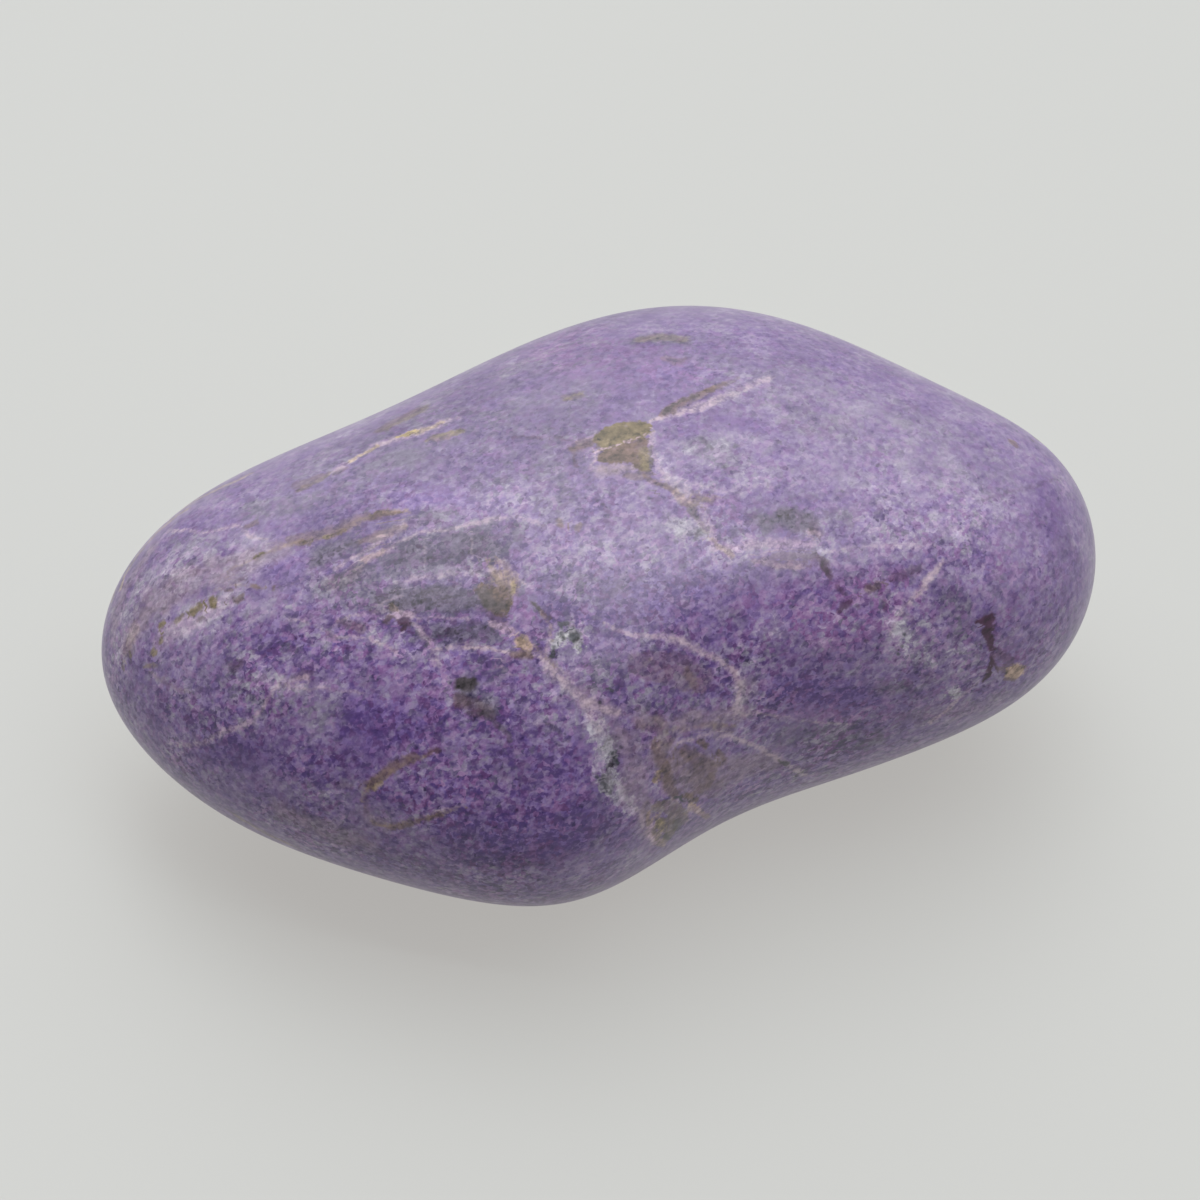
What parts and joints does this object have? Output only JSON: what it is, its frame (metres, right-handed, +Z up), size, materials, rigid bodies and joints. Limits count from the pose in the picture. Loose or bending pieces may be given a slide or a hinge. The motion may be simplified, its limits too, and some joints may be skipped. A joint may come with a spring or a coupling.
{
  "type": "tumbled stone",
  "caption": "Tumble-polished pebble of mottled purple stichtite, an oblong rounded lump with a waisted side, lying on a small worn flat.",
  "frame": {"origin": "on the resting surface, under the middle of the stone's bounding box", "axes": "+X along the stone towards its blunt end, +Z up off the resting surface, -Y towards the long sloping face with the waist"},
  "size_m": [0.0338, 0.0221, 0.0147],
  "materials": {
    "stichtite": "polished"
  },
  "bodies": {
    "root": {"stone": "stichtite"}
  },
  "joints": []
}
